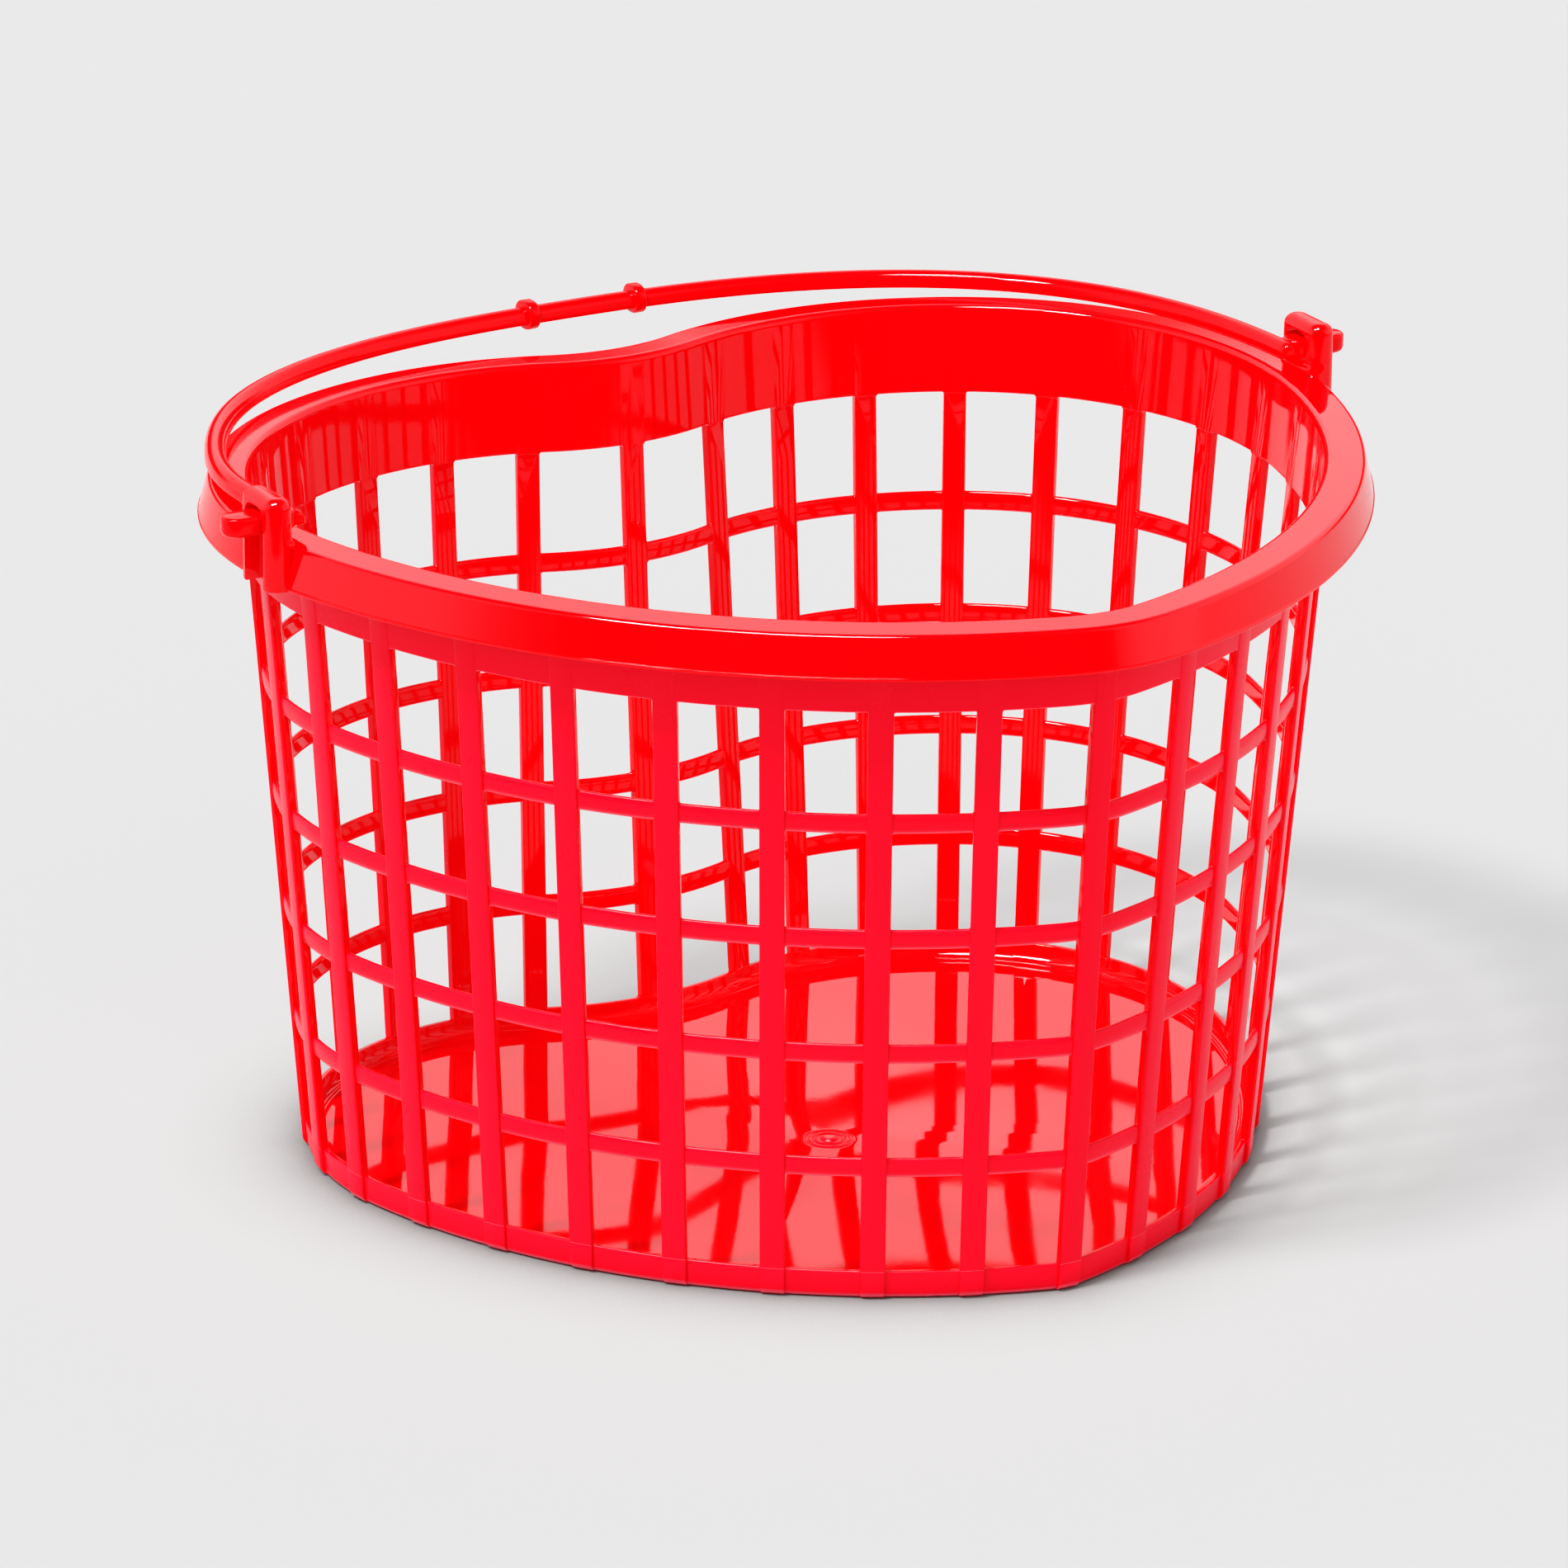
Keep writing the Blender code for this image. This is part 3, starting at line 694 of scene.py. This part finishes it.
# --------------------------------------------------------------- materials
def satin_outside(graph, shader, tint, roughness, satin):
    """Textured outer faces, painted pale light on the hoops' lower edges and a painted glow on the
    rim's top: the new colour and roughness.
    """
    # the slats and hoops are textured on their outward faces, below the skirt
    geometry = graph.add("NewGeometry").outputs
    radial = graph.vector("MULTIPLY_ADD", geometry["Position"], (1, 1, 0), (0, 0.02, 0))
    unit = graph.vector("NORMALIZE", radial)
    facing = graph.vector("DOT_PRODUCT", unit, geometry["True Normal"], output="Value")
    outward = graph.remap(facing, start=(0.15, 0.35))
    height = graph.add("SeparateXYZ", {"Vector": geometry["Position"]}).outputs["Z"]
    below = graph.remap(height, start=(0.1575, 0.1585), end=(1.0, 0.0))
    mask = graph.math("MULTIPLY", outward, below)
    roughness = graph.math("MULTIPLY_ADD", mask, satin, roughness)
    graph.feed(tint.node.inputs[0], mask)
    # painted light: the faces turned down below the skirt, the hoops' thin lower edges among them,
    # are painted paler, standing in for light coming through them
    tilt = graph.add("SeparateXYZ", {"Vector": geometry["True Normal"]}).outputs["Z"]
    under = graph.remap(tilt, start=(-0.2, -0.6), smooth=True)
    lit = graph.math("MULTIPLY", under, below)
    colour = graph.mix_colour(lit, tint, (1.0, 0.13, 0.18, 1))
    # painted light: extra glow on the rim's top, standing in for light from the lit band below it,
    # so the rod's shadow on it stays red
    top = graph.remap(tilt, start=(0.5, 0.85))
    high = graph.remap(height, start=(0.1655, 0.168))
    painted_rim_light_mask = graph.math("MULTIPLY", top, high)
    glow_with_painted_light = graph.math("MULTIPLY_ADD", painted_rim_light_mask, 0.45, PAINTED_FILL_GLOW)
    graph.feed(shader.inputs["Emission Strength"], glow_with_painted_light)
    # the textured faces reflect less
    specular = graph.remap(mask, end=(0.5, 0.32))
    graph.feed(shader.inputs["Specular IOR Level"], specular)
    return colour, roughness


PAINTED_FILL_GLOW = 0.11  # painted light: a faint red glow over all the plastic, standing in for light carried through the wall, keeps the shaded sides red


def plastic(name, roughness, satin, waves, ior):
    """Glossy red polypropylene; satin is the roughness added to textured faces, if any."""
    mat = bpy.data.materials.new(name)
    mat.use_nodes = True
    graph = Graph(mat.node_tree)
    shader = graph.nodes["Principled BSDF"]
    coords = graph.add("TexCoord").outputs["Object"]

    # colour: slow variation of pigment, with a softer red for the textured faces
    pigment = graph.add("TexNoise", {"Vector": coords, "Scale": 9.0, "Detail": 3.0})
    ramp = graph.add("ValToRGB", {"Fac": pigment.outputs["Fac"]})
    stops = ((0.3, (0.92, 0.0001, 0.005, 1)), (0.7, (0.97, 0.0002, 0.009, 1)))
    for element, (position, red) in zip(ramp.color_ramp.elements, stops):
        element.position = position
        element.color = red
    colour = graph.mix_colour(0.0, ramp.outputs["Color"], (0.94, 0.0026, 0.03, 1))

    # roughness: polished, with softer patches
    patches = {"Vector": coords, "Scale": 38.0, "Detail": 5.0, "Roughness": 0.6}
    soft = graph.add("TexNoise", patches).outputs["Fac"]
    rough = graph.remap(soft, start=(0.35, 0.75), end=(roughness, roughness + 0.05))
    if satin:
        colour, rough = satin_outside(graph, shader, colour, rough, satin)

    # the colour that the plastic throws onto its surroundings is weaker than the colour it shows
    diffuse_ray = graph.add("LightPath").outputs["Is Diffuse Ray"]
    thrown = graph.mix_colour(diffuse_ray, colour, (0.6, 0.36, 0.36, 1))
    graph.feed(shader.inputs["Base Color"], thrown)
    graph.feed(shader.inputs["Roughness"], rough)

    # bump: moulding waviness drawn out along Z, and a fine grain
    wave = graph.add("TexNoise", {"Scale": 26.0, "Detail": 1.5})
    stretch = graph.add("Mapping", {"Vector": coords, "Scale": (1.0, 1.0, 0.35)})
    graph.feed(wave.inputs["Vector"], stretch.outputs["Vector"])
    relief = {"Strength": 1.0, "Distance": waves, "Height": wave.outputs["Fac"]}
    bump = graph.add("Bump", relief).outputs["Normal"]
    grain = graph.add("TexNoise", {"Vector": coords, "Scale": 900.0, "Detail": 2.0})
    relief = {"Strength": 1.0, "Distance": 0.0000025, "Height": grain.outputs["Fac"]}
    fine = graph.add("Bump", relief | {"Normal": bump})
    graph.feed(shader.inputs["Normal"], fine.outputs["Normal"])

    shader.inputs["IOR"].default_value = ior
    # painted light: a faint red glow over the whole plastic lifts its shaded sides
    shader.inputs["Emission Color"].default_value = (1.0, 0.0, 0.004, 1)
    shader.inputs["Emission Strength"].default_value = PAINTED_FILL_GLOW
    return mat


body, bail = basket(), handle()
red_body = plastic("red_body", roughness=0.03, satin=0.24, waves=0.00007, ior=1.5)
red_handle = plastic("red_handle", roughness=0.05, satin=0.0, waves=0.00006, ior=1.38)
for piece, material, node_name, body_name, slot in (
    (body, red_body, "basket_body", "basket", "body_red"),
    (bail, red_handle, "bail_handle", "handle", "handle_red"),
):
    piece.data.materials.clear()
    piece.data.materials.append(material)
    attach(piece, body_name)
    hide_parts(node_name)

# ------------------------------------------------------------------- stage
PAPER_GLOW = 0.432  # an evenly lit sweep, so that the ground stays pale right up to the object
PAPER_END = (0.42, 0.6)  # where the lit paper fades out in reflections, in metres
PAPER_AHEAD = (-0.508, -0.861, 0.0)  # the way the paper runs towards the camera
YAW, PITCH, ROLL = 0.5325019623706015, 0.3450003563075086, 0.010772132881976182
CAMERA = Vector((-1.1525114, -1.9483402, 0.8988346))
LENS = 230.16803835577
RIGHT = Vector((math.cos(YAW), -math.sin(YAW), 0))  # the camera's right, level
TOWARDS = Vector((-math.sin(YAW), -math.cos(YAW), 0))  # towards the camera, level


def paper():
    mat = bpy.data.materials.new("studio_paper")
    mat.use_nodes = True
    graph = Graph(mat.node_tree)
    shader = graph.nodes["Principled BSDF"]
    shader.inputs["Base Color"].default_value = (0.28, 0.28, 0.28, 1)
    shader.inputs["Roughness"].default_value = 0.9
    shader.inputs["Specular IOR Level"].default_value = 0.1
    shader.inputs["Emission Color"].default_value = (1, 1, 1, 1)
    # painted contact shadow: the paper's glow fades close to the object
    painted_contact_shade_ao = graph.add("AmbientOcclusion", {"Distance": 0.035}, samples=8).outputs["AO"]
    glow_with_painted_light = graph.remap(painted_contact_shade_ao, start=(0.45, 0.97), end=(0.0, PAPER_GLOW))
    graph.feed(shader.inputs["Emission Strength"], glow_with_painted_light)
    # the lit paper ends a little in front of the object, which only its reflections show
    position = graph.add("NewGeometry").outputs["Position"]
    ahead = graph.vector("DOT_PRODUCT", position, PAPER_AHEAD, output="Value")
    beyond = graph.remap(ahead, start=PAPER_END, smooth=True)
    glossy_ray = graph.add("LightPath").outputs["Is Glossy Ray"]
    hidden = graph.math("MULTIPLY", beyond, glossy_ray)
    dark = graph.add("Emission", {"Strength": 0.03}).outputs["Emission"]
    swap = graph.add("MixShader", {"Fac": hidden, 1: shader.outputs["BSDF"], 2: dark})
    graph.feed(graph.nodes["Material Output"].inputs["Surface"], swap.outputs["Shader"])
    return mat


def studio_floor():
    bm = bmesh.new()
    bmesh.ops.create_grid(bm, x_segments=8, y_segments=8, size=14)
    floor = finish_mesh("studio_floor", bm)
    floor.location.z = cad_box[0][2] - 0.0001
    floor.data.materials.append(paper())


def add_camera():
    look = Vector(
        (math.sin(YAW) * math.cos(PITCH), math.cos(YAW) * math.cos(PITCH), -math.sin(PITCH))
    )
    up = RIGHT.cross(look)
    rolled_right = RIGHT * math.cos(ROLL) + up * math.sin(ROLL)
    rolled_up = -RIGHT * math.sin(ROLL) + up * math.cos(ROLL)
    data = bpy.data.cameras.new("camera")
    camera = bpy.data.objects.new("camera", data)
    bpy.context.scene.collection.objects.link(camera)
    axes = ((*rolled_right, 0), (*rolled_up, 0), (*-look, 0), (*CAMERA, 1))
    camera.matrix_world = Matrix(axes).transposed()
    data.sensor_width = 36
    data.lens = LENS
    data.clip_start, data.clip_end = 0.1, 100
    bpy.context.scene.camera = camera


def studio_world():
    """Pale studio walls behind and beside, dark room behind the camera and overhead."""
    world = bpy.data.worlds.new("studio")
    bpy.context.scene.world = world
    world.use_nodes = True
    graph = Graph(world.node_tree)
    coords = graph.add("TexCoord").outputs["Generated"]

    def facing(direction, start, end):
        """A smooth ramp of the cosine of the angle to a direction."""
        cosine = graph.vector("DOT_PRODUCT", coords, direction, output="Value")
        return graph.remap(cosine, start, end, smooth=True)

    behind = facing((-math.sin(YAW), -math.cos(YAW), 0.0), start=(0.35, 0.75), end=(1.0, 0.04))
    overhead = facing((0, 0, 1), start=(0.55, 0.9), end=(1.12, 0.12))
    # the wall behind the object is dark at its foot and lit from about 14 degrees up
    foot = facing((0, 0, 1), start=(0.19, 0.27), end=(0.92, 0.0))
    back = facing((math.sin(YAW), math.cos(YAW), 0.0), start=(0.55, 0.8), end=(0.0, 1.0))
    rest = graph.math("SUBTRACT", 1.0, graph.math("MULTIPLY", foot, back))
    level = graph.math("MULTIPLY", graph.math("MULTIPLY", behind, overhead), rest)
    # seen straight on, the room has the paper's pale tone from every side
    camera_ray = graph.add("LightPath").outputs["Is Camera Ray"]
    shown = graph.add("Mix", {0: camera_ray, 2: level, 3: 0.82}).outputs[0]
    background = graph.nodes["Background"]
    background.inputs["Color"].default_value = (1.0, 1.0, 1.0, 1)
    graph.feed(background.inputs["Strength"], shown)


def sun(name, towards, left, up, energy, angle):
    """A sun whose direction is given towards the camera, to its left and up."""
    data = bpy.data.lights.new(name, "SUN")
    data.energy = energy
    data.angle = angle
    obj = bpy.data.objects.new(name, data)
    direction = (TOWARDS * towards - RIGHT * left + Vector((0, 0, up))).normalized()
    obj.location = direction * 3.0
    obj.rotation_mode = "QUATERNION"
    obj.rotation_quaternion = (-direction).to_track_quat("-Z", "Y")
    bpy.context.scene.collection.objects.link(obj)
    return obj


def tone_curve():
    """The camera's toe: the deepest tones are pulled down, the rest is left alone."""
    view = bpy.context.scene.view_settings
    view.view_transform = "Standard"
    view.look = "None"
    view.use_curve_mapping = True
    combined = view.curve_mapping.curves[3]
    for x, y in ((0.035, 0.012), (0.11, 0.085), (0.25, 0.24), (0.6, 0.6)):
        combined.points.new(x, y)
    view.curve_mapping.update()


studio_floor()
add_camera()
studio_world()
# key: high, from the camera's left
sun("key", towards=0.45, left=0.55, up=1.15, energy=2.6, angle=0.22)
# fill from beside the camera, too broad to show as a highlight
fill = sun("fill", towards=1.0, left=0.0, up=0.45, energy=1.3, angle=1.2)
fill.visible_glossy = False
# a small high lamp that shows only as sparks on the rounded ends and edges
spark = sun("spark", towards=0.3, left=0.12, up=1.0, energy=2.8, angle=0.36)
spark.visible_diffuse = False
tone_curve()

bpy.context.view_layer.update()
